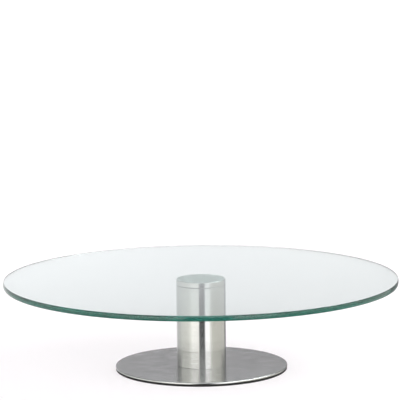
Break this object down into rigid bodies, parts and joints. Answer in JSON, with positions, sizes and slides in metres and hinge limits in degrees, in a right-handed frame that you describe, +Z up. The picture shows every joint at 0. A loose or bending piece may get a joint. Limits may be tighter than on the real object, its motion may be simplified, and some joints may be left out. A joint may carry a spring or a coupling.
{
  "type": "rotating cake stand",
  "caption": "Single-tier rotating cake stand: clear round glass plate on a ball-bearing hub, brushed steel column, flat round base disc and black foam pad.",
  "frame": {"origin": "centre of the pad's underside, on the turning axis, at the height of the table", "axes": "+Z up along the turning axis; +X and +Y are free, because the stand is round"},
  "size_m": [0.3, 0.3, 0.07],
  "materials": {
    "clear_glass": "clear float glass, rim ground and polished to a shallow arc",
    "clear_adhesive": "cured clear bonding film",
    "hub_steel": "turned stainless, satin",
    "column_steel": "stainless tube, fine satin brushing along its length",
    "base_steel": "stamped stainless, fine straight brushing, bright rolled edge",
    "foam_black": "matt black closed-cell foam",
    "screw_steel": "zinc plated",
    "turned_steel": "bright turned",
    "cast_alloy": "die-cast, turned on its seats",
    "bearing_steel": "ground and polished",
    "shield_steel": "pressed sheet, bright",
    "cage_nylon": "natural nylon, moulded",
    "insert_nylon": "blue nylon ring"
  },
  "bodies": {
    "foot": {"anti_slip_pad": "foam_black", "base_disc": "base_steel", "base_screws": "screw_steel", "column_tube": "column_steel", "foot_plug": "cast_alloy", "bearing_housing": "cast_alloy", "upper_outer_ring": "bearing_steel", "upper_shields": "shield_steel", "lower_outer_ring": "bearing_steel", "lower_shields": "shield_steel"},
    "turntable": {"glass_plate": "clear_glass", "bond_film": "clear_adhesive", "hub_disc": "hub_steel", "spindle": "turned_steel", "spacer_sleeve": "turned_steel", "end_washer": "screw_steel", "lock_nut": "screw_steel", "lock_nut_insert": "insert_nylon", "upper_inner_ring": "bearing_steel", "lower_inner_ring": "bearing_steel"},
    "upper_ball_set": {"upper_balls": "bearing_steel", "upper_cage": "cage_nylon"},
    "lower_ball_set": {"lower_balls": "bearing_steel", "lower_cage": "cage_nylon"}
  },
  "joints": [
    {"name": "turntable_spin", "type": "hinge", "parent": "foot", "child": "turntable", "pos_m": [0, 0, 0.0498], "axis": [0, 0, 1], "continuous": true},
    {"name": "upper_ball_set_spin", "type": "hinge", "parent": "foot", "child": "upper_ball_set", "pos_m": [0, 0, 0.0549], "axis": [0, 0, 1], "continuous": true},
    {"name": "lower_ball_set_spin", "type": "hinge", "parent": "foot", "child": "lower_ball_set", "pos_m": [0, 0, 0.0369], "axis": [0, 0, 1], "continuous": true}
  ],
  "couplings": [
    {"joint": "upper_ball_set_spin", "follows": "turntable_spin", "ratio": 0.3677},
    {"joint": "lower_ball_set_spin", "follows": "turntable_spin", "ratio": 0.3677}
  ]
}
